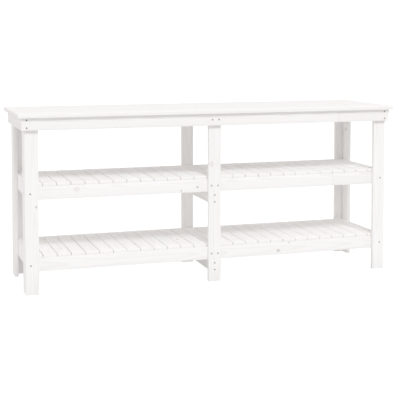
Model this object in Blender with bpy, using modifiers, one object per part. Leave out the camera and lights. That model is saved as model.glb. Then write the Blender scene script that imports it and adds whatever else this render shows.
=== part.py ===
"""Potting bench: a rigid, free-standing table of planed pine boards with two slatted shelves.

Units are metres and +Z is up. The origin is on the floor, under the middle of the tabletop.
+X runs along the bench and -Y faces the person who works at it.
"""
import bpy

OBJECT_NAME = "potting_bench"

# Overall size
TOP_LENGTH = 1.806
TOP_DEPTH = 0.500
BENCH_HEIGHT = 0.800

# Board sections
TOP_THICKNESS = 0.018
APRON_HEIGHT = 0.055
APRON_THICKNESS = 0.014
LEG_WIDTH = 0.060
LEG_THICKNESS = 0.018
RAIL_HEIGHT = 0.060
RAIL_THICKNESS = 0.018
BEAM_HEIGHT = 0.060
BEAM_THICKNESS = 0.018
SLAT_WIDTH = 0.060
SLAT_THICKNESS = 0.014
SLAT_COUNT = 27

# Where the top of each shelf stands, and how far the tabletop runs past the aprons
SHELF_TOPS = {"lower": 0.175, "upper": 0.492}
TOP_OVERHANG_ENDS = 0.016
TOP_OVERHANG_FRONT = 0.013

# Touching boards are kept this far apart, and every long edge is eased by this much
SEAM = 0.0003
EDGE_EASE = 0.0015

# A strip over the rails that ties the two slats of a pair together
TIE_THICKNESS = 0.004
TIE_LENGTH = 0.016

# Planes that several boards share
TOP_UNDERSIDE = BENCH_HEIGHT - TOP_THICKNESS
APRON_BOTTOM = TOP_UNDERSIDE - APRON_HEIGHT
APRON_X = TOP_LENGTH / 2 - TOP_OVERHANG_ENDS
APRON_Y = TOP_DEPTH / 2 - TOP_OVERHANG_FRONT
LEG_X = APRON_X - APRON_THICKNESS
LEG_Y = APRON_Y - APRON_THICKNESS
SHELF_X = LEG_X - LEG_THICKNESS
SHELF_Y = LEG_Y - LEG_THICKNESS
SLAT_GAP = (2 * SHELF_X - SLAT_COUNT * SLAT_WIDTH) / (SLAT_COUNT - 1)

# Base colour and roughness of each kind of board
FINISHES = {
    "tabletop_pine": ((0.84, 0.82, 0.78), 0.50),
    "apron_pine": ((0.82, 0.79, 0.76), 0.55),
    "leg_pine": ((0.81, 0.79, 0.74), 0.55),
    "rail_pine": ((0.80, 0.77, 0.72), 0.60),
    "beam_pine": ((0.78, 0.75, 0.70), 0.60),
    "slat_pine": ((0.81, 0.78, 0.73), 0.60),
}


def clear_scene():
    """Remove every object, so the script starts from an empty scene."""
    for old in list(bpy.data.objects):
        bpy.data.objects.remove(old, do_unlink=True)


def make_collection(name):
    """Return a new collection linked to the scene."""
    collection = bpy.data.collections.new(name)
    bpy.context.scene.collection.children.link(collection)
    return collection


def make_finish(name, color, roughness):
    """Return a Principled material for one kind of board."""
    material = bpy.data.materials.new(name)
    material.use_nodes = True
    shader = material.node_tree.nodes["Principled BSDF"]
    shader.inputs["Base Color"].default_value = (*color, 1.0)
    shader.inputs["Roughness"].default_value = roughness
    shader.inputs["Metallic"].default_value = 0.0
    material.diffuse_color = (*color, 1.0)
    return material


def block(name, low, high):
    """Return a box object that fills the space between two opposite corners."""
    size = [top - bottom for bottom, top in zip(low, high)]
    middle = [(top + bottom) / 2 for bottom, top in zip(low, high)]
    bpy.ops.mesh.primitive_cube_add(size=1.0, location=middle)
    box = bpy.context.object
    box.name = name
    box.data.name = name
    for vertex in box.data.vertices:
        vertex.co = [part * length for part, length in zip(vertex.co, size)]
    return box


def ease_edges(board):
    """Round the edges of a board slightly, as planed stock is."""
    bevel = board.modifiers.new("eased_edges", "BEVEL")
    bevel.width = EDGE_EASE
    bevel.segments = 1
    bevel.limit_method = "ANGLE"


def finish_board(board, finish):
    """Give a board its material, its collection and its place under the bench."""
    board.data.materials.append(FINISH_MATERIALS[finish])
    for collection in list(board.users_collection):
        collection.objects.unlink(board)
    BENCH.objects.link(board)
    board.parent = BENCH_EMPTY


def inset(low, high, flush):
    """Pull each face back by half a seam, except those named in flush, such as "-z"."""
    low = list(low)
    high = list(high)
    for axis, letter in enumerate("xyz"):
        if "-" + letter not in flush:
            low[axis] += SEAM / 2
        if "+" + letter not in flush:
            high[axis] -= SEAM / 2
    return low, high


def board(name, x_range, y_range, z_range, finish, flush=""):
    """Make one board between the nominal planes of its neighbours."""
    low, high = inset(*zip(x_range, y_range, z_range), flush)
    piece = block(name, low, high)
    ease_edges(piece)
    finish_board(piece, finish)
    return piece


def mirrored(low, high, side):
    """Return a range on the positive side, or its mirror image on the negative side."""
    return (low, high) if side > 0 else (-high, -low)


def make_tabletop():
    """The working surface: one edge-glued panel."""
    board("tabletop_panel", (-TOP_LENGTH / 2, TOP_LENGTH / 2), (-TOP_DEPTH / 2, TOP_DEPTH / 2),
          (TOP_UNDERSIDE, BENCH_HEIGHT), "tabletop_pine", flush="-x+x-y+y+z")


def make_aprons():
    """Four boards under the tabletop; the long ones cover the ends of the short ones."""
    z_range = (APRON_BOTTOM, TOP_UNDERSIDE)
    for side, word in ((-1, "front"), (1, "back")):
        board(word + "_apron", (-APRON_X, APRON_X), mirrored(LEG_Y, APRON_Y, side), z_range, "apron_pine")
    for side, word in ((-1, "left"), (1, "right")):
        board(word + "_apron", mirrored(LEG_X, APRON_X, side), (-LEG_Y, LEG_Y), z_range, "apron_pine")


def make_corner_legs():
    """Each corner leg is two boards that meet in an L: one faces along Y, one along X."""
    z_range = (0.0, TOP_UNDERSIDE)
    for y_side, depth_word in ((-1, "front"), (1, "back")):
        for x_side, side_word in ((-1, "left"), (1, "right")):
            name = depth_word + "_" + side_word + "_leg"
            board(name + "_face_board", mirrored(LEG_X - LEG_WIDTH, LEG_X, x_side),
                  mirrored(SHELF_Y, LEG_Y, y_side), z_range, "leg_pine", flush="-z")
            board(name + "_side_board", mirrored(SHELF_X, LEG_X, x_side),
                  mirrored(SHELF_Y - LEG_WIDTH, SHELF_Y, y_side), z_range, "leg_pine", flush="-z")


def make_centre_legs():
    """One board at the front and one at the back, half-way along the bench."""
    for side, word in ((-1, "front"), (1, "back")):
        board(word + "_centre_leg", (-LEG_WIDTH / 2, LEG_WIDTH / 2), mirrored(SHELF_Y, LEG_Y, side),
              (0.0, TOP_UNDERSIDE), "leg_pine", flush="-z")


def make_shelf_rails(tier, shelf_top):
    """Long rails behind the legs, with short rails between their ends."""
    z_range = (shelf_top - SLAT_THICKNESS - RAIL_HEIGHT, shelf_top - SLAT_THICKNESS)
    inner_y = SHELF_Y - RAIL_THICKNESS
    for side, word in ((-1, "front"), (1, "back")):
        board(tier + "_" + word + "_rail", (-SHELF_X, SHELF_X), mirrored(inner_y, SHELF_Y, side),
              z_range, "rail_pine")
    for side, word in ((-1, "left"), (1, "right")):
        board(tier + "_" + word + "_rail", mirrored(SHELF_X - RAIL_THICKNESS, SHELF_X, side),
              (-inner_y, inner_y), z_range, "rail_pine")


def make_cross_beam(name, beam_top):
    """A beam from the front centre leg to the back one."""
    board(name, (-BEAM_THICKNESS / 2, BEAM_THICKNESS / 2), (-SHELF_Y, SHELF_Y),
          (beam_top - BEAM_HEIGHT, beam_top), "beam_pine")


def slat_range(number):
    """Return the left and right planes of a slat, counted from 1 at the left end."""
    left = -SHELF_X + (number - 1) * (SLAT_WIDTH + SLAT_GAP)
    return left, left + SLAT_WIDTH


def make_single_slat(name, number, shelf_top):
    """One slat that runs from the front rail to the back rail."""
    return board(name, slat_range(number), (-SHELF_Y, SHELF_Y),
                 (shelf_top - SLAT_THICKNESS, shelf_top), "slat_pine")


def apply_modifiers(piece):
    """Turn the evaluated shape of a piece into its own mesh."""
    evaluated = piece.evaluated_get(bpy.context.evaluated_depsgraph_get())
    mesh = bpy.data.meshes.new_from_object(evaluated)
    piece.modifiers.clear()
    piece.data = mesh


def join_shape(piece, tool):
    """Union a helper shape into a piece and remove the helper."""
    union = piece.modifiers.new("tie", "BOOLEAN")
    union.operation = "UNION"
    union.solver = "EXACT"
    union.object = tool
    bpy.context.view_layer.update()
    apply_modifiers(piece)
    bpy.data.objects.remove(tool, do_unlink=True)


def make_slat_pair(name, number, shelf_top):
    """Two neighbouring slats as one solid, tied over the front and back rails."""
    pair = make_single_slat(name, number, shelf_top)
    join_shape(pair, make_single_slat("second_slat", number + 1, shelf_top))
    left = slat_range(number)[1] - TIE_THICKNESS
    right = slat_range(number + 1)[0] + TIE_THICKNESS
    bottom = shelf_top - SLAT_THICKNESS / 2 - TIE_THICKNESS / 2
    for side in (-1, 1):
        y_range = mirrored(SHELF_Y - RAIL_THICKNESS, SHELF_Y - RAIL_THICKNESS + TIE_LENGTH, side)
        low, high = zip((left, right), y_range, (bottom, bottom + TIE_THICKNESS))
        join_shape(pair, block("tie", low, high))


def make_slats(tier, shelf_top):
    """The two end slats and the middle one stand alone; the others are made in pairs."""
    middle = (SLAT_COUNT + 1) // 2
    for number in (1, middle, SLAT_COUNT):
        make_single_slat(f"{tier}_slat_{number:02d}", number, shelf_top)
    for first, last in ((2, middle), (middle + 1, SLAT_COUNT)):
        for number in range(first, last, 2):
            make_slat_pair(f"{tier}_slats_{number:02d}_{number + 1:02d}", number, shelf_top)


def make_bench():
    """Build every board of the bench."""
    make_tabletop()
    make_aprons()
    make_corner_legs()
    make_centre_legs()
    make_cross_beam("top_cross_beam", TOP_UNDERSIDE)
    for tier, shelf_top in SHELF_TOPS.items():
        make_shelf_rails(tier, shelf_top)
        make_cross_beam(tier + "_cross_beam", shelf_top - SLAT_THICKNESS - RAIL_HEIGHT)
        make_slats(tier, shelf_top)


clear_scene()
BENCH = make_collection(OBJECT_NAME)
BENCH_EMPTY = bpy.data.objects.new(OBJECT_NAME + "_origin", None)
BENCH.objects.link(BENCH_EMPTY)
FINISH_MATERIALS = {
    name: make_finish(name, color, roughness) for name, (color, roughness) in FINISHES.items()
}
make_bench()
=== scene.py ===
"""Looks of the potting bench: finely made pine boards, steel screws, studio light and camera.

Units are metres. Every board takes its place and size from its CAD node.
"""
import math
import random

import bmesh
import bpy
from mathutils import Matrix, Vector


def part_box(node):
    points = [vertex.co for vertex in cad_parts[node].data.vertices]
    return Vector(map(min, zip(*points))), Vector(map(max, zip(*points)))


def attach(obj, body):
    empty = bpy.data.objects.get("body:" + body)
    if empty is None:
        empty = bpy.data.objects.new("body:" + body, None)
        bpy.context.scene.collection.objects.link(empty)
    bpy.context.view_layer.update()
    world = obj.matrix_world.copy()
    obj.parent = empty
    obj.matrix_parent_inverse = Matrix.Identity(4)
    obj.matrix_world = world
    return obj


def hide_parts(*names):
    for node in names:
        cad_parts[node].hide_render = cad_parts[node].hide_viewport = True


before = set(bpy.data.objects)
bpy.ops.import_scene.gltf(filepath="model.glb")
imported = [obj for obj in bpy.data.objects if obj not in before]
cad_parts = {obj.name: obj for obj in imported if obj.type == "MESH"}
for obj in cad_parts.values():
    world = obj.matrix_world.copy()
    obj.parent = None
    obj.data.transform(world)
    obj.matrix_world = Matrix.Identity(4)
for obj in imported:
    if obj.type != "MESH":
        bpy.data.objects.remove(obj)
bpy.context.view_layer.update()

BODY = "root"
SEED = 20

# Edges of planed stock, and how finely they are rounded
EDGE_RADIUS = 0.0016
TABLETOP_EDGE_RADIUS = 0.0014
SLAT_EDGE_RADIUS = 0.0011
EDGE_SEGMENTS = 3
SHARP_EDGE = 1.0
SMOOTH_ANGLE = math.radians(28)

# Cross cuts that divide a board's mesh
CUT_SPACING = 0.12
FEWEST_CUTS = 3
CUTS_ACROSS = 3

# Wood screws with a countersunk head
SCREW_HEAD_RADIUS = 0.0041
SCREW_HEAD_DEPTH = 0.0031
SCREW_SINK = 0.0004
SHANK_RADIUS = 0.0019
SHANK_LENGTH = 0.024
RECESS_ARM = 0.0021
RECESS_WIDTH = 0.0009
RECESS_DEPTH = 0.0018
TIP_LENGTH = 0.004
TAPER_LENGTH = 0.007
TIP_NARROWING = 0.7
RIM_CHAMFER = 0.0002
HEAD_CROWN = 0.0001
HEAD_EDGE = 0.0003
SCREW_SEGMENTS = 28
WELD_DISTANCE = 0.000002

# The countersunk hole is a little larger than its screw
HOLE_EXTRA_DEPTH = 0.0004
HOLE_EXTRA_RADIUS = 0.0002
CUTTER_OVERSHOOT = 0.0006

# Where the screws sit on the boards
END_INSET = 0.023
APRON_TOP_INSET = 0.009
APRON_BOTTOM_INSET = 0.012
PAIR_HALF_SPAN = 0.0155
BEAM_HALF_SPAN = 0.016

# Sawn slats differ a little in place, length and level
SLAT_SHIFT = 0.0006
SLAT_SHORTEN = 0.0010
SLAT_SHORTEN_PARTS = (0.3, 1.0)
SLAT_TURN = 0.0010
SLAT_CUP = 0.00025
SLAT_DROP = 0.0002

# Camera: a long lens from the front and a little from the left, tipped down by a few degrees
CAMERA_LOCATION = (-1.4789, -4.6068, 1.1364)
CAMERA_YAW = math.radians(17.794)
CAMERA_PITCH = math.radians(3.616)
CAMERA_LENS = 90.81
CAMERA_SENSOR = 36.0
CAMERA_SHIFT_Y = -0.25

# Light
DISPLAY_GAMMA = 1.5
AMBIENT = 0.575
AMBIENT_COLOR = (1.0, 0.950, 0.945, 1.0)
BACKDROP = 1.10
KEY_STRENGTH = 1.58
KEY_COLOR = (0.970, 1.015, 1.040)
KEY_ELEVATION = math.radians(47.0)
KEY_SPREAD = math.radians(17.0)
LEFT_STRENGTH = 1.05
RIGHT_STRENGTH = 1.00
SIDE_COLOR = (0.985, 1.0, 1.020)
SIDE_ELEVATION = math.radians(12.0)
SIDE_SPREAD = math.radians(80.0)
FLOOR_BOUNCE = 0.305
FLOOR_GLOW = 0.92
FLOOR_SHADE = 0.30
FLOOR_HALF_SIZE = 60.0


# ---------------------------------------------------------------- node helpers

class Nodes:
    """Short calls for building a node tree."""

    def __init__(self, tree):
        self.tree = tree

    def add(self, kind, **settings):
        node = self.tree.nodes.new(kind)
        for key, value in settings.items():
            setattr(node, key, value)
        return node

    def feed(self, socket, value):
        """Link a socket, or set it to a number or colour."""
        if isinstance(value, bpy.types.NodeSocket):
            self.tree.links.new(value, socket)
        else:
            socket.default_value = value

    def math(self, operation, first, second=0.0, third=0.0, clamp=False):
        node = self.add("ShaderNodeMath", operation=operation, use_clamp=clamp)
        for socket, value in zip(node.inputs, (first, second, third)):
            self.feed(socket, value)
        return node.outputs[0]

    def attribute(self, name):
        return self.add("ShaderNodeAttribute", attribute_name=name).outputs["Vector"]

    def split(self, vector):
        node = self.add("ShaderNodeSeparateXYZ")
        self.feed(node.inputs[0], vector)
        return node.outputs["X"], node.outputs["Y"], node.outputs["Z"]

    def join(self, x, y, z):
        node = self.add("ShaderNodeCombineXYZ")
        for socket, value in zip(node.inputs, (x, y, z)):
            self.feed(socket, value)
        return node.outputs[0]

    def vector(self, operation, first, second):
        node = self.add("ShaderNodeVectorMath", operation=operation)
        self.feed(node.inputs[0], first)
        self.feed(node.inputs[1], second)
        return node.outputs["Vector"]

    def noise(self, vector, scale, detail=2.0, roughness=0.5):
        node = self.add("ShaderNodeTexNoise")
        self.feed(node.inputs["Vector"], vector)
        node.inputs["Scale"].default_value = scale
        node.inputs["Detail"].default_value = detail
        node.inputs["Roughness"].default_value = roughness
        return node.outputs["Fac"]

    def smooth(self, value, low, high, out_low=0.0, out_high=1.0):
        """Smooth step from out_low to out_high while value goes from low to high."""
        node = self.add("ShaderNodeMapRange", interpolation_type="SMOOTHSTEP")
        self.feed(node.inputs["Value"], value)
        self.feed(node.inputs["From Min"], low)
        self.feed(node.inputs["From Max"], high)
        self.feed(node.inputs["To Min"], out_low)
        self.feed(node.inputs["To Max"], out_high)
        return node.outputs["Result"]

    def mix(self, factor, first, second, blend="MIX"):
        node = self.add("ShaderNodeMix", data_type="RGBA", blend_type=blend)
        self.feed(node.inputs[0], factor)
        self.feed(node.inputs[6], first)
        self.feed(node.inputs[7], second)
        return node.outputs[2]

    def add_up(self, start, *parts):
        """Add each part, which is a value and how much of it, to a start value."""
        for value, amount in parts:
            start = self.math("MULTIPLY_ADD", value, amount, start)
        return start


def new_material(name):
    """Return a material, its node tree's helper and its shader."""
    material = bpy.data.materials.new(name)
    material.use_nodes = True
    return material, Nodes(material.node_tree), material.node_tree.nodes["Principled BSDF"]


def add_bump(nodes, shader, height, strength, distance):
    """Let a height value tilt the shader's normal."""
    bump = nodes.add("ShaderNodeBump")
    bump.inputs["Strength"].default_value = strength
    bump.inputs["Distance"].default_value = distance
    nodes.feed(bump.inputs["Height"], height)
    nodes.feed(shader.inputs["Normal"], bump.outputs["Normal"])


# ---------------------------------------------------------------- pine

WHITEWASH = (0.950, 0.945, 0.940, 1.0)
EARLYWOOD = (0.860, 0.790, 0.690, 1.0)
LATEWOOD = (0.650, 0.540, 0.450, 1.0)
KNOT_WOOD = (0.270, 0.230, 0.210, 1.0)

# Growth rings: their spacing, how far they wander, and the part of a ring that is late wood
RING_SPACING = 0.0034
RING_WOBBLE = 0.030
LATE_START = 0.35
LATE_FULL = 0.86
LATE_END = 0.90

# Noise cells per metre along a board, across it and through it
WOBBLE_STRETCH = (1.7, 9.0, 9.0)
FIBRE_STRETCH = (22.0, 1500.0, 1500.0)
STREAK_STRETCH = (2.6, 150.0, 150.0)
PATCH_STRETCH = (3.2, 17.0, 17.0)

# Finger joints: half the pitch of the fingers, their slope, and the glue between them
FINGER_PITCH = 0.0042
FINGER_SLOPE = 2.6
GLUE_WIDTH = 0.0014
GLUE_LEVEL = -0.40

# The wood past a finger joint, and each stave of a panel, comes from elsewhere in the log
SECOND_LENGTH_SHIFT = 7.3
SECOND_LENGTH_TONE = -0.010
STAVE_SHIFT = 3.71
STAVE_TONE = 0.05
STAVE_NOISE_PLACE = (0.37, 0.61)
STAVE_NOISE_SCALE = 3.3

# Knots: how many a board may have, how long they are drawn, and how they bend the rings
KNOT_SLOTS = 3
KNOT_LENGTH_WEIGHT = 0.62
KNOT_PUSH = 1.3
KNOT_PUSH_FALL = -0.45
KNOT_RIPPLE = 6.0
KNOT_RING_RATE = 17.0
KNOT_RIM = (0.82, 1.08)
KNOT_HALO = (0.9, 3.2)
HALO_STAIN = 0.35
KNOT_TONE = 0.80
KNOT_RING_TONE = 0.25
SMALLEST_KNOT = 0.00001

# Small knots stay bare; the wash hides part of a large one
BARE_KNOT_RADIUS = 0.006
WASHED_KNOT_RADIUS = 0.011
WASHED_KNOT_SHARE = 0.4

# How far wear and end grain reach from an edge
WEAR_REACH = (0.0002, 0.0024)
END_GRAIN_REACH = 0.0006

# Edges wear more where a streak is strong
WEAR_STREAK = (0.38, 0.72)
WEAR_SHARE = (0.15, 1.0)

# What each feature adds to the cover of the wash
STREAK_WASH = 0.30
PATCH_WASH = -0.22
LATE_WASH = -0.10
FIBRE_WASH = -0.06
SECOND_LENGTH_WASH = -0.06
WEAR_WASH = -0.16
END_GRAIN_WASH = -0.10
KNOT_WASH = -0.60

# What each feature adds to the roughness and to the height of the surface
SMOOTHEST = -0.05
FIBRE_ROUGHNESS = 0.10
LATE_ROUGHNESS = -0.08
END_GRAIN_ROUGHNESS = 0.15
FIBRE_HEIGHT = 0.35
LATE_HEIGHT = 0.5
STREAK_HEIGHT = 0.25
KNOT_HEIGHT = -0.3
GLUE_HEIGHT = -0.5

PINE_SPECULAR = 0.35
PINE_BUMP = 0.35
PINE_RELIEF = 0.0002


def splice_fields(nodes, along, across):
    """Return which of two finger-jointed lengths a point is on, and where the glue line runs."""
    splice, finger_pitch, _ = nodes.split(nodes.attribute("splice"))
    fingers = nodes.math("PINGPONG", across, finger_pitch)
    fingers = nodes.math("MULTIPLY", fingers, FINGER_SLOPE)
    past_splice = nodes.math("SUBTRACT", nodes.math("SUBTRACT", along, splice), fingers)
    second_length = nodes.math("GREATER_THAN", past_splice, 0.0)
    glue_line = nodes.smooth(nodes.math("ABSOLUTE", past_splice), 0.0, GLUE_WIDTH, 1.0, 0.0)
    return second_length, glue_line


def log_fields(nodes, local, second_length, stave_width):
    """Return where a point lies in its log, and how its length or stave differs in tone."""
    along, across, depth = local
    shift = nodes.math("MULTIPLY", second_length, SECOND_LENGTH_SHIFT)
    tone_step = nodes.math("MULTIPLY", second_length, SECOND_LENGTH_TONE)
    if stave_width:
        stave = nodes.math("FLOOR", nodes.math("DIVIDE", across, stave_width))
        shift = nodes.math("MULTIPLY_ADD", stave, STAVE_SHIFT, shift)
        stave_tone = nodes.noise(nodes.join(stave, *STAVE_NOISE_PLACE), STAVE_NOISE_SCALE, 0.0)
        stave_tone = nodes.math("SUBTRACT", stave_tone, 0.5)
        tone_step = nodes.math("MULTIPLY_ADD", stave_tone, STAVE_TONE, tone_step)
    moved = nodes.join(nodes.math("ADD", along, shift), across, depth)
    return nodes.vector("ADD", moved, nodes.attribute("seed")), tone_step


def ring_wobble(nodes, place):
    """Return how far the growth rings wander sideways."""
    wobble = nodes.noise(nodes.vector("MULTIPLY", place, WOBBLE_STRETCH), 1.0, 2.0, 0.45)
    return nodes.math("MULTIPLY", nodes.math("SUBTRACT", wobble, 0.5), RING_WOBBLE)


def pith_distance(nodes, local, wobble):
    """Return how far a point is from the pith, which lies beside the board."""
    along, across, depth = local
    pith_across, pith_depth, tilt = nodes.split(nodes.attribute("pith"))
    a = nodes.math("ADD", nodes.math("SUBTRACT", across, pith_across), wobble)
    d = nodes.math("SUBTRACT", depth, pith_depth)
    radius = nodes.math("SQRT", nodes.math("MULTIPLY_ADD", a, a, nodes.math("MULTIPLY", d, d)))
    radius = nodes.math("MULTIPLY_ADD", along, tilt, radius)
    return nodes.math("ADD", radius, nodes.math("MULTIPLY", wobble, 0.5))


def knot_field(nodes, along, across, number):
    """Return how far a point is from one knot, in knot radii, and the knot's radius."""
    x, y, radius = nodes.split(nodes.attribute(f"knot_{number}"))
    dx = nodes.math("SUBTRACT", along, x)
    dy = nodes.math("SUBTRACT", across, y)
    long_part = nodes.math("MULTIPLY", dx, KNOT_LENGTH_WEIGHT)
    squared = nodes.math("MULTIPLY_ADD", dx, long_part, nodes.math("MULTIPLY", dy, dy))
    distance = nodes.math("SQRT", squared)
    unit = nodes.math("MAXIMUM", radius, SMALLEST_KNOT)
    return nodes.math("DIVIDE", distance, unit), radius


def knot_fields(nodes, local, wobble, radius):
    """Return the ring radius bent round the knots, the knots, their halos and their own rings."""
    along, across, _ = local
    knot_mask = 0.0
    halo_mask = 0.0
    knot_rings = 0.0
    for number in range(1, KNOT_SLOTS + 1):
        away, size = knot_field(nodes, along, across, number)
        away_squared = nodes.math("MULTIPLY", away, away)
        push = nodes.math("EXPONENT", nodes.math("MULTIPLY", away_squared, KNOT_PUSH_FALL))
        radius = nodes.math("MULTIPLY_ADD", push, nodes.math("MULTIPLY", size, KNOT_PUSH), radius)
        ripple = nodes.math("MULTIPLY_ADD", wobble, KNOT_RIPPLE, away)
        bareness = nodes.smooth(size, BARE_KNOT_RADIUS, WASHED_KNOT_RADIUS, 1.0, WASHED_KNOT_SHARE)
        spot = nodes.math("MULTIPLY", nodes.smooth(ripple, *KNOT_RIM, 1.0, 0.0), bareness)
        knot_mask = nodes.math("MAXIMUM", knot_mask, spot)
        halo_mask = nodes.math("MAXIMUM", halo_mask, nodes.smooth(ripple, *KNOT_HALO, 1.0, 0.0))
        rings = nodes.math("SINE", nodes.math("MULTIPLY", ripple, KNOT_RING_RATE))
        knot_rings = nodes.math("MULTIPLY_ADD", rings, 0.5, knot_rings)
    return radius, knot_mask, halo_mask, knot_rings


def late_wood(nodes, radius):
    """Return the late wood: it grows darker slowly through each ring, and ends sharply."""
    ring = nodes.math("FRACT", nodes.math("DIVIDE", radius, RING_SPACING))
    rise = nodes.smooth(ring, LATE_START, LATE_FULL)
    return nodes.math("MULTIPLY", rise, nodes.smooth(ring, LATE_END, 1.0, 1.0, 0.0))


def edge_distance(nodes, local):
    """Return how far a surface point is from the nearest edge of its board, and from its end."""
    half = nodes.split(nodes.attribute("half"))
    gaps = [
        nodes.math("SUBTRACT", size, nodes.math("ABSOLUTE", place))
        for size, place in zip(half, local)
    ]
    low = nodes.math("MINIMUM", gaps[0], gaps[1])
    high = nodes.math("MAXIMUM", gaps[0], gaps[1])
    return nodes.math("MAXIMUM", low, nodes.math("MINIMUM", high, gaps[2])), gaps[0]


def make_pine(name, coverage, grain, roughness, stave_width=0.0):
    """White-washed pine: growth rings, fibres, knots, spliced lengths and worn edges."""
    material, nodes, shader = new_material(name)
    local = nodes.split(nodes.attribute("local"))
    # The board's tone: painted shading plus a random brightness, and a random warmth
    random_tone_and_painted_shading, warmth, _ = nodes.split(nodes.attribute("tone"))
    second_length, glue_line = splice_fields(nodes, local[0], local[1])
    place, tone_step = log_fields(nodes, local, second_length, stave_width)
    wobble = ring_wobble(nodes, place)
    radius = pith_distance(nodes, local, wobble)
    radius, knot_mask, halo_mask, knot_rings = knot_fields(nodes, local, wobble, radius)
    late = late_wood(nodes, radius)

    # Fibres, streaks and soft patches
    fibre = nodes.noise(nodes.vector("MULTIPLY", place, FIBRE_STRETCH), 1.0, 1.0)
    streak = nodes.noise(nodes.vector("MULTIPLY", place, STREAK_STRETCH), 1.0, 2.0)
    patch = nodes.noise(nodes.vector("MULTIPLY", place, PATCH_STRETCH), 1.0, 2.0)

    # Worn edges and thirsty end grain
    edge, end = edge_distance(nodes, local)
    wear = nodes.smooth(edge, *WEAR_REACH, 1.0, 0.0)
    wear = nodes.math("MULTIPLY", wear, nodes.smooth(streak, *WEAR_STREAK, *WEAR_SHARE))
    end_grain = nodes.smooth(end, 0.0, END_GRAIN_REACH, 1.0, 0.0)

    # The bare wood
    wood = nodes.mix(late, EARLYWOOD, LATEWOOD)
    wood = nodes.mix(nodes.math("MULTIPLY", halo_mask, HALO_STAIN), wood, LATEWOOD)
    knot_tone = nodes.math("MULTIPLY_ADD", knot_rings, KNOT_RING_TONE, KNOT_TONE, clamp=True)
    wood = nodes.mix(nodes.math("MULTIPLY", knot_mask, knot_tone), wood, KNOT_WOOD)

    # How much of the wash covers the wood
    wash = nodes.add_up(
        coverage,
        (nodes.math("SUBTRACT", streak, 0.5), STREAK_WASH * grain),
        (nodes.math("SUBTRACT", patch, 0.5), PATCH_WASH * grain),
        (late, LATE_WASH * grain),
        (fibre, FIBRE_WASH * grain),
        (second_length, SECOND_LENGTH_WASH),
        (wear, WEAR_WASH),
        (end_grain, END_GRAIN_WASH),
        (knot_mask, KNOT_WASH),
    )
    wash = nodes.math("MULTIPLY_ADD", warmth, -1.0, wash, clamp=True)
    color = nodes.mix(wash, wood, WHITEWASH)
    # The level holds the board's painted shading and random tone, and the tone of its length or
    # stave
    level = nodes.math("ADD", nodes.math("ADD", random_tone_and_painted_shading, tone_step), 1.0)
    level = nodes.math("MULTIPLY_ADD", glue_line, GLUE_LEVEL, level)
    color = nodes.mix(1.0, color, nodes.join(level, level, level), "MULTIPLY")
    nodes.feed(shader.inputs["Base Color"], color)

    rough = nodes.add_up(
        roughness + SMOOTHEST,
        (fibre, FIBRE_ROUGHNESS),
        (late, LATE_ROUGHNESS),
        (end_grain, END_GRAIN_ROUGHNESS),
    )
    nodes.feed(shader.inputs["Roughness"], rough)
    shader.inputs["Specular IOR Level"].default_value = PINE_SPECULAR

    height = nodes.add_up(
        nodes.math("MULTIPLY", fibre, FIBRE_HEIGHT),
        (late, LATE_HEIGHT),
        (streak, STREAK_HEIGHT),
        (knot_mask, KNOT_HEIGHT),
        (glue_line, GLUE_HEIGHT),
    )
    add_bump(nodes, shader, height, PINE_BUMP, PINE_RELIEF)
    return material


# ---------------------------------------------------------------- steel

DARK_STEEL = (0.16, 0.15, 0.14, 1.0)
WORN_STEEL = (0.26, 0.25, 0.24, 1.0)
GRIME_SCALE = 900.0
GRIME_RANGE = (0.4, 0.7)
SCRATCH_STRETCH = (4000.0, 600.0, 600.0)
STEEL_METALLIC = 0.8
STEEL_ROUGHNESS = 0.32
SCRATCH_ROUGHNESS = 0.25
STEEL_BUMP = 0.3
STEEL_RELIEF = 0.0001


def make_screw_steel():
    """Dark coated steel, scratched by the driver and worn in patches."""
    material, nodes, shader = new_material("screw_steel")
    place = nodes.add("ShaderNodeTexCoord").outputs["Object"]
    grime = nodes.noise(place, GRIME_SCALE, 3.0)
    scratch = nodes.noise(nodes.vector("MULTIPLY", place, SCRATCH_STRETCH), 1.0, 1.0)
    color = nodes.mix(nodes.smooth(grime, *GRIME_RANGE), DARK_STEEL, WORN_STEEL)
    nodes.feed(shader.inputs["Base Color"], color)
    shader.inputs["Metallic"].default_value = STEEL_METALLIC
    rough = nodes.math("MULTIPLY_ADD", scratch, SCRATCH_ROUGHNESS, STEEL_ROUGHNESS)
    nodes.feed(shader.inputs["Roughness"], rough)
    add_bump(nodes, shader, scratch, STEEL_BUMP, STEEL_RELIEF)
    return material


# Each pine: cover of the wash, strength of the grain, roughness
PINES = {
    "tabletop_pine": make_pine("tabletop_pine", 0.90, 0.8, 0.50, stave_width=0.0625),
    "apron_pine": make_pine("apron_pine", 0.87, 1.0, 0.55),
    "leg_pine": make_pine("leg_pine", 0.89, 0.65, 0.55),
    "rail_pine": make_pine("rail_pine", 0.90, 0.6, 0.58),
    "beam_pine": make_pine("beam_pine", 0.86, 1.0, 0.58),
    "slat_pine": make_pine("slat_pine", 0.88, 1.0, 0.58),
}
STEEL = make_screw_steel()


# ---------------------------------------------------------------- boards

def axis_order(size):
    """Return the axes of a board: along its length, across its width, through its thickness."""
    return sorted(range(3), key=lambda axis: -size[axis])


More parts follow.
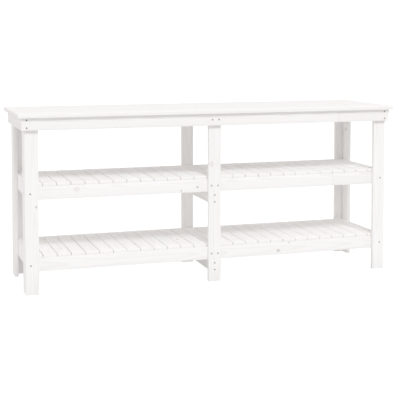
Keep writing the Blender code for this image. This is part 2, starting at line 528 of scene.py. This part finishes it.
def board_form(size, edge_radius, cup=0.0):
    """Return a board as a bmesh: cross cuts, rounded edges, and a face cupped at its sides."""
    along, across, depth = axis_order(size)
    form = bmesh.new()
    bmesh.ops.create_cube(form, size=1.0)
    bmesh.ops.scale(form, vec=size, verts=form.verts)
    cuts = max(FEWEST_CUTS, round(size[along] / CUT_SPACING))
    for axis, count in ((along, cuts), (across, CUTS_ACROSS)):
        normal = Vector([float(axis == i) for i in range(3)])
        for step in range(1, count + 1):
            spot = normal * size[axis] * (step / (count + 1) - 0.5)
            geometry = form.verts[:] + form.edges[:] + form.faces[:]
            bmesh.ops.bisect_plane(form, geom=geometry, plane_co=spot, plane_no=normal)
    sharp = [edge for edge in form.edges if edge.calc_face_angle(0.0) > SHARP_EDGE]
    bmesh.ops.bevel(form, geom=sharp, offset=edge_radius, segments=EDGE_SEGMENTS,
                    profile=0.5, affect="EDGES")
    for vertex in form.verts:
        if vertex.co[depth] > 0:
            side = 2 * vertex.co[across] / size[across]
            vertex.co[depth] -= cup * side * side
    return form


def to_object(name, form, location):
    """Turn a bmesh into a linked object at a place."""
    mesh = bpy.data.meshes.new(name)
    form.to_mesh(mesh)
    form.free()
    piece = bpy.data.objects.new(name, mesh)
    piece.location = location
    bpy.context.scene.collection.objects.link(piece)
    return piece


def cut_with(piece, cutter):
    """Subtract a helper object from a piece, and remove the helper."""
    cut = piece.modifiers.new("cut", "BOOLEAN")
    cut.object = cutter
    cut.solver = "EXACT"
    evaluated = piece.evaluated_get(bpy.context.evaluated_depsgraph_get())
    mesh = bpy.data.meshes.new_from_object(evaluated)
    piece.modifiers.clear()
    piece.data = mesh
    bpy.data.objects.remove(cutter)


def set_constant(mesh, name, value):
    """Give every point of a mesh the same vector attribute."""
    attribute = mesh.attributes.new(name, "FLOAT_VECTOR", "POINT")
    attribute.data.foreach_set("vector", [part for _ in mesh.vertices for part in value])


# Where a knot or a finger joint goes when a board has none
NOWHERE = 99.0
TINY_KNOT = 0.001

# How far the log and the tone of a board may vary
PITH_SIDE = 0.03
PITH_BESIDE = (0.02, 0.09)
PITH_TILT = 0.012
TONE_SPREAD = 0.012
WARMTH_SPREAD = 0.03
LOG_OFFSET = 40

# Where a random knot may sit, as parts of the board's length and width, and its radius
KNOT_ALONG = 0.42
KNOT_ACROSS = 0.35
KNOT_RADII = (0.0025, 0.0055)


def random_pith(rng):
    """Return where the pith runs: its place across, its place in depth, and its tilt."""
    across = rng.uniform(-PITH_SIDE, PITH_SIDE)
    depth = rng.choice((-1, 1)) * rng.uniform(*PITH_BESIDE)
    tilt = rng.uniform(-PITH_TILT, PITH_TILT)
    return across, depth, tilt


def write_grain(piece, size, rng, knots, splice, shade):
    """Store what the pine reads: the place in the board, its log, its tone with its painted
    shading, and its knots.
    """
    mesh = piece.data
    order = axis_order(size)
    local = mesh.attributes.new("local", "FLOAT_VECTOR", "POINT")
    local.data.foreach_set("vector", [v.co[axis] for v in mesh.vertices for axis in order])
    set_constant(mesh, "half", [size[axis] / 2 for axis in order])
    set_constant(mesh, "seed", [rng.uniform(0, LOG_OFFSET) for _ in range(3)])
    set_constant(mesh, "pith", random_pith(rng))
    # The brightness is painted shading, making the board darker or paler to read as lit or shaded,
    # plus a random tone
    random_tone_and_painted_shading = shade + rng.uniform(-TONE_SPREAD, TONE_SPREAD)
    warmth = rng.uniform(-WARMTH_SPREAD, WARMTH_SPREAD)
    set_constant(mesh, "tone", (random_tone_and_painted_shading, warmth, 0.0))
    joint = splice if splice is not None else NOWHERE
    set_constant(mesh, "splice", (joint, FINGER_PITCH, 0.0))
    for number in range(1, KNOT_SLOTS + 1):
        knot = knots[number - 1] if number <= len(knots) else (NOWHERE, NOWHERE, TINY_KNOT)
        set_constant(mesh, f"knot_{number}", knot)


def random_knots(size, rng, chance):
    """Return one small knot, or none, somewhere on a board."""
    along, across, _ = axis_order(size)
    x = rng.uniform(-KNOT_ALONG, KNOT_ALONG) * size[along]
    y = rng.uniform(-KNOT_ACROSS, KNOT_ACROSS) * size[across]
    radius = rng.uniform(*KNOT_RADII)
    return [(x, y, radius)] if rng.random() < chance else []


# Places and direction of each board's screws, kept until every board is made
screw_places = {}


def screw_cutter(places, direction):
    """Return one object with a countersink for each screw."""
    form = bmesh.new()
    turn = Vector((0, 0, 1)).rotation_difference(direction).to_matrix().to_4x4()
    depth = SCREW_HEAD_DEPTH + SCREW_SINK + HOLE_EXTRA_DEPTH
    top_radius = SCREW_HEAD_RADIUS + HOLE_EXTRA_RADIUS
    for place in places:
        shift = Matrix.Translation(place + direction * (CUTTER_OVERSHOOT - depth) / 2)
        bmesh.ops.create_cone(form, cap_ends=True, segments=SCREW_SEGMENTS, radius1=SHANK_RADIUS,
                              radius2=top_radius, depth=depth + CUTTER_OVERSHOOT,
                              matrix=shift @ turn)
    return to_object("cutter", form, (0, 0, 0))


def finish_piece(piece, slot, body=BODY):
    """Shade a piece, name its slot and put it on its body."""
    piece.data.materials.clear()
    piece.data.materials.append(PINES[slot] if slot in PINES else STEEL)
    piece.data.shade_smooth()
    piece.data.set_sharp_from_angle(angle=SMOOTH_ANGLE)
    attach(piece, body)


def make_board(name, node, slot, low, high, number, edge_radius=EDGE_RADIUS, knots=None,
               splice=None, screws=(), face=None, knot_chance=0.5, shade=0.0, jitter=False):
    """Make one board between two corners and let it stand for its CAD node."""
    rng = random.Random(SEED * 1000 + number)
    low = Vector(low)
    high = Vector(high)
    cup = 0.0
    turn = 0.0
    if jitter:
        move = rng.uniform(-SLAT_SHIFT, SLAT_SHIFT)
        turn = rng.uniform(-SLAT_TURN, SLAT_TURN)
        front = rng.uniform(*SLAT_SHORTEN_PARTS) * SLAT_SHORTEN
        low += Vector((move, front, 0))
        back = rng.uniform(*SLAT_SHORTEN_PARTS) * SLAT_SHORTEN
        high += Vector((move, -back, -rng.uniform(0, SLAT_DROP)))
        cup = SLAT_CUP
    size = high - low
    centre = (low + high) / 2
    piece = to_object(name, board_form(size, edge_radius, cup), centre)
    if screws:
        direction = Vector(face)
        cut_with(piece, screw_cutter([Vector(place) for place in screws], direction))
        screw_places[name] = ([Vector(place) for place in screws], direction)
    if knots is None:
        knots = random_knots(size, rng, knot_chance)
    write_grain(piece, size, rng, knots, splice, shade)
    piece.rotation_euler.z = turn
    finish_piece(piece, slot)
    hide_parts(node)


def node_board(node, slot, number, **details):
    """Make the board that stands for one CAD node of the same size."""
    low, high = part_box(node)
    make_board(node + "_board", node, slot, low, high, number, **details)


def on_face(node, face, spots):
    """Return points on one face of a node; each spot gives the other two coordinates."""
    low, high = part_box(node)
    axis = max(range(3), key=lambda i: abs(face[i]))
    plane = high[axis] if face[axis] > 0 else low[axis]
    places = []
    for spot in spots:
        rest = list(spot)
        rest.insert(axis, plane)
        places.append(tuple(rest))
    return places


# The single slats at the ends of a shelf give the width of every slat
SLAT_LOW, SLAT_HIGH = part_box("upper_slat_01")
SLAT_WIDTH = SLAT_HIGH.x - SLAT_LOW.x

# Painted light and shade: some boards are made darker or paler than the rest so that they read as
# lit or shaded
# Painted shade: the tabletop is made darker to dim its lit top
TABLETOP_PAINTED_SHADE = -0.04
# Painted shade: the long aprons are made darker to dim their lit faces
LONG_APRON_PAINTED_SHADE = -0.012
# Painted shade: the short aprons are made darker, as in shade under the tabletop's overhang
SHORT_APRON_PAINTED_SHADE = -0.04
# Painted shade: the face boards of the corner legs are made darker to dim their lit faces
LEG_FACE_PAINTED_SHADE = -0.02
# Painted shade on the lit front centre leg, and painted light on the back centre leg, which stands
# in shade
CENTRE_PAINTED_SHADE_AND_LIGHT = {"front": -0.03, "back": 0.045}
# Painted shade: the front rails are made darker to dim their lit faces
RAIL_PAINTED_SHADES = {"front": -0.03}
# Painted light: the slats are made paler, lifting the shade on the shelves
SLAT_PAINTED_LIGHT = 0.012

# Where the long aprons are finger-jointed, and the chance of a knot in a slat
APRON_SPLICE = 0.612
SLAT_KNOT_CHANCE = 0.4


def rail_mid(tier):
    """Return the height of the middle of a shelf's rails."""
    low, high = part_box(tier + "_front_rail")
    return (low.z + high.z) / 2


def beam_mid(tier):
    """Return the height of the middle of a shelf's cross beam."""
    low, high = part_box(tier + "_cross_beam")
    return (low.z + high.z) / 2


def make_tabletop(number):
    """The panel of glued staves has no knots."""
    node_board("tabletop_panel", "tabletop_pine", number, edge_radius=TABLETOP_EDGE_RADIUS,
               knots=[], shade=TABLETOP_PAINTED_SHADE)


def make_aprons(number):
    """Long aprons are screwed at their ends and in the middle, short ones at their ends."""
    low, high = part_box("front_apron")
    upper = high.z - APRON_TOP_INSET
    lower = low.z + APRON_BOTTOM_INSET
    middle = (low.z + high.z) / 2
    end = high.x - END_INSET
    spots = [(side * end, z) for side in (-1, 1) for z in (upper, lower)]
    spots += [(side * PAIR_HALF_SPAN, middle) for side in (-1, 1)]
    for side, word in ((-1, "front"), (1, "back")):
        face = (0, side, 0)
        node_board(word + "_apron", "apron_pine", number, splice=APRON_SPLICE * -side, face=face,
                   shade=LONG_APRON_PAINTED_SHADE, knots=[], screws=on_face(word + "_apron", face, spots))
        number += 1
    low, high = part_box("front_left_leg_side_board")
    across = abs(low.y + high.y) / 2
    spots = [(side * across, z) for side in (-1, 1) for z in (upper, lower)]
    for side, word in ((-1, "left"), (1, "right")):
        face = (side, 0, 0)
        node_board(word + "_apron", "apron_pine", number, face=face, shade=SHORT_APRON_PAINTED_SHADE,
                   screws=on_face(word + "_apron", face, spots))
        number += 1


# Knots on leg boards: place along the board, place across it, radius
LEG_KNOTS = {
    "front_left_leg_face_board": [(-0.001, 0.019, 0.0045)],
    "front_centre_leg": [(0.158, -0.016, 0.0115)],
    "back_right_leg_side_board": [(0.260, -0.009, 0.0060)],
    "back_right_leg_face_board": [],
}


def make_legs(number):
    """Corner legs are two boards in an L, centre legs one; screws hold the rails and beams."""
    rails = [rail_mid("upper"), rail_mid("lower")]
    for y_side, depth_word in ((-1, "front"), (1, "back")):
        for x_side, side_word in ((-1, "left"), (1, "right")):
            node = f"{depth_word}_{side_word}_leg_face_board"
            low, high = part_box(node)
            outer = (high.x if x_side > 0 else low.x) - x_side * END_INSET
            face = (0, y_side, 0)
            node_board(node, "leg_pine", number, face=face, knots=LEG_KNOTS.get(node),
                       screws=on_face(node, face, [(outer, z) for z in rails]),
                       shade=LEG_FACE_PAINTED_SHADE)
            node = f"{depth_word}_{side_word}_leg_side_board"
            low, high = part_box(node)
            face = (x_side, 0, 0)
            middle = (low.y + high.y) / 2
            node_board(node, "leg_pine", number + 1, face=face, knots=LEG_KNOTS.get(node),
                       screws=on_face(node, face, [(middle, z) for z in rails]))
            number += 2
        node = depth_word + "_centre_leg"
        face = (0, y_side, 0)
        spots = [(side * PAIR_HALF_SPAN, z) for z in rails for side in (-1, 1)]
        beams = [beam_mid("upper"), beam_mid("lower")]
        spots += [(0.0, z + side * BEAM_HALF_SPAN) for z in beams for side in (-1, 1)]
        node_board(node, "leg_pine", number, face=face, knots=LEG_KNOTS.get(node),
                   screws=on_face(node, face, spots), shade=CENTRE_PAINTED_SHADE_AND_LIGHT[depth_word])
        number += 1


# Knots on the long rails, as on the legs
RAIL_KNOTS = {
    "upper_front_rail": [
        (-0.641, 0.010, 0.0120), (-0.156, -0.019, 0.0035), (-0.078, -0.006, 0.0050),
    ],
    "lower_front_rail": [(0.325, -0.011, 0.0080), (0.379, 0.024, 0.0035)],
    "upper_back_rail": [(0.52, 0.006, 0.005)],
    "lower_back_rail": [(-0.47, -0.010, 0.006)],
}

# Finger joints on the long rails: place along the board
RAIL_SPLICES = {"upper_front_rail": 0.601, "upper_back_rail": -0.30, "lower_back_rail": 0.35}


def make_rails_and_beams(number):
    """Rails round each shelf and beams across the bench."""
    for tier in ("upper", "lower"):
        for word in ("front", "back", "left", "right"):
            node = f"{tier}_{word}_rail"
            node_board(node, "rail_pine", number, knots=RAIL_KNOTS.get(node),
                       splice=RAIL_SPLICES.get(node), shade=RAIL_PAINTED_SHADES.get(word, 0.0))
            number += 1
    for tier in ("top", "upper", "lower"):
        node_board(tier + "_cross_beam", "beam_pine", number)
        number += 1


def make_slats(number):
    """Every slat is a board of its own; the paired CAD nodes each give two."""
    for tier in ("upper", "lower"):
        nodes = sorted(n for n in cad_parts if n.startswith(tier + "_slat"))
        for node in nodes:
            low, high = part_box(node)
            numbers = [int(part) for part in node.split("_") if part.isdigit()]
            starts = [low.x, high.x - SLAT_WIDTH][:len(numbers)]
            for slat, start in zip(numbers, starts):
                corner_low = (start, low.y, low.z)
                corner_high = (start + SLAT_WIDTH, high.y, high.z)
                make_board(f"{tier}_slat_board_{slat:02d}", node, "slat_pine",
                           corner_low, corner_high, number + slat, edge_radius=SLAT_EDGE_RADIUS,
                           knot_chance=SLAT_KNOT_CHANCE, shade=SLAT_PAINTED_LIGHT, jitter=True)
        number += 100


# ---------------------------------------------------------------- screws

def screw_profile():
    """Return the turned outline of a screw: radius and height, from the tip to the rim."""
    tip = -SCREW_HEAD_DEPTH - SHANK_LENGTH
    return [
        (0.0, tip),
        (SHANK_RADIUS * TIP_NARROWING, tip + TIP_LENGTH),
        (SHANK_RADIUS, tip + TAPER_LENGTH),
        (SHANK_RADIUS, -SCREW_HEAD_DEPTH),
        (SCREW_HEAD_RADIUS, -HEAD_EDGE),
        (SCREW_HEAD_RADIUS, 0.0),
        (SCREW_HEAD_RADIUS - RIM_CHAMFER, HEAD_CROWN),
        (0.0, HEAD_CROWN),
    ]


def screw_mesh():
    """Return the mesh of one screw, standing along +Z with its head's face at the origin."""
    form = bmesh.new()
    verts = [form.verts.new((radius, 0.0, height)) for radius, height in screw_profile()]
    edges = [form.edges.new(pair) for pair in zip(verts, verts[1:])]
    bmesh.ops.spin(form, geom=verts + edges, cent=(0, 0, 0), axis=(0, 0, 1),
                   steps=SCREW_SEGMENTS, angle=math.tau, use_duplicate=False)
    bmesh.ops.remove_doubles(form, verts=form.verts[:], dist=WELD_DISTANCE)
    bmesh.ops.recalc_face_normals(form, faces=form.faces[:])
    screw = to_object("screw", form, (0, 0, 0))
    for size in ((2 * RECESS_ARM, RECESS_WIDTH), (RECESS_WIDTH, 2 * RECESS_ARM)):
        cutter = bmesh.new()
        bmesh.ops.create_cube(cutter, size=1.0)
        bmesh.ops.scale(cutter, vec=(*size, 2 * RECESS_DEPTH), verts=cutter.verts)
        cut_with(screw, to_object("cross", cutter, (0, 0, 0)))
    mesh = screw.data
    bpy.data.objects.remove(screw)
    return mesh


def make_screws():
    """One piece for the screws of each board."""
    pattern = screw_mesh()
    rng = random.Random(SEED)
    for board, (places, direction) in screw_places.items():
        form = bmesh.new()
        middle = sum(places, Vector()) / len(places)
        turn = Vector((0, 0, 1)).rotation_difference(direction).to_matrix().to_4x4()
        for place in places:
            spin = Matrix.Rotation(rng.uniform(0, math.tau), 4, "Z")
            spot = Matrix.Translation(place - middle - direction * SCREW_SINK)
            copy = pattern.copy()
            copy.transform(spot @ turn @ spin)
            form.from_mesh(copy)
            bpy.data.meshes.remove(copy)
        piece = to_object(board.replace("_board", "") + "_screws", form, middle)
        finish_piece(piece, "screw_steel")
    bpy.data.meshes.remove(pattern)


# ---------------------------------------------------------------- stage, light, camera

def make_floor():
    """A large pale floor that glows: it lights the bench from below, and the camera sees white."""
    form = bmesh.new()
    bmesh.ops.create_grid(form, x_segments=8, y_segments=8, size=FLOOR_HALF_SIZE)
    floor = to_object("studio_floor", form, (0, 0, 0))
    material, nodes, shader = new_material("studio_floor")
    seen = nodes.add("ShaderNodeLightPath").outputs["Is Camera Ray"]
    shader.inputs["Base Color"].default_value = (FLOOR_SHADE, FLOOR_SHADE, FLOOR_SHADE, 1.0)
    shader.inputs["Roughness"].default_value = 1.0
    shader.inputs["Specular IOR Level"].default_value = 0.0
    shader.inputs["Emission Color"].default_value = (1.0, 1.0, 1.0, 1.0)
    glow = nodes.math("MULTIPLY_ADD", seen, FLOOR_GLOW - FLOOR_BOUNCE, FLOOR_BOUNCE)
    nodes.feed(shader.inputs["Emission Strength"], glow)
    floor.data.materials.append(material)


def make_world():
    """Even white light from all round; the camera sees it as a white backdrop."""
    world = bpy.data.worlds.new("studio")
    bpy.context.scene.world = world
    world.use_nodes = True
    nodes = Nodes(world.node_tree)
    background = world.node_tree.nodes["Background"]
    seen = nodes.add("ShaderNodeLightPath").outputs["Is Camera Ray"]
    strength = nodes.math("MULTIPLY_ADD", seen, BACKDROP - AMBIENT, AMBIENT)
    background.inputs["Color"].default_value = AMBIENT_COLOR
    nodes.feed(background.inputs["Strength"], strength)


def make_sun(name, strength, color, elevation, azimuth, spread):
    """A soft light from far away; azimuth 0 comes from the front and 90 degrees from the left."""
    light = bpy.data.lights.new(name, "SUN")
    light.energy = strength
    light.color = color
    light.angle = spread
    lamp = bpy.data.objects.new(name, light)
    lamp.rotation_euler = (math.pi / 2 - elevation, 0.0, -azimuth)
    bpy.context.scene.collection.objects.link(lamp)


def make_lights():
    """Three soft lights in an evenly lit studio."""
    make_world()
    make_sun("front_softbox", KEY_STRENGTH, KEY_COLOR, KEY_ELEVATION, 0.0, KEY_SPREAD)
    make_sun("left_softbox", LEFT_STRENGTH, SIDE_COLOR, SIDE_ELEVATION, math.pi / 2, SIDE_SPREAD)
    make_sun("right_softbox", RIGHT_STRENGTH, SIDE_COLOR, SIDE_ELEVATION, -math.pi / 2, SIDE_SPREAD)


def make_camera():
    """A long lens; its shift keeps the bench in the middle of the picture."""
    data = bpy.data.cameras.new("camera")
    data.lens = CAMERA_LENS
    data.sensor_width = CAMERA_SENSOR
    data.shift_y = CAMERA_SHIFT_Y
    camera = bpy.data.objects.new("camera", data)
    camera.location = CAMERA_LOCATION
    camera.rotation_euler = (math.pi / 2 - CAMERA_PITCH, 0.0, -CAMERA_YAW)
    bpy.context.scene.collection.objects.link(camera)
    bpy.context.scene.camera = camera


# The numbers seed the grain: every board has its own
make_camera()
make_tabletop(1)
make_aprons(10)
make_legs(20)
make_rails_and_beams(40)
make_slats(100)
make_screws()
make_floor()
make_lights()
bpy.context.scene.view_settings.view_transform = "Standard"
bpy.context.scene.view_settings.gamma = DISPLAY_GAMMA
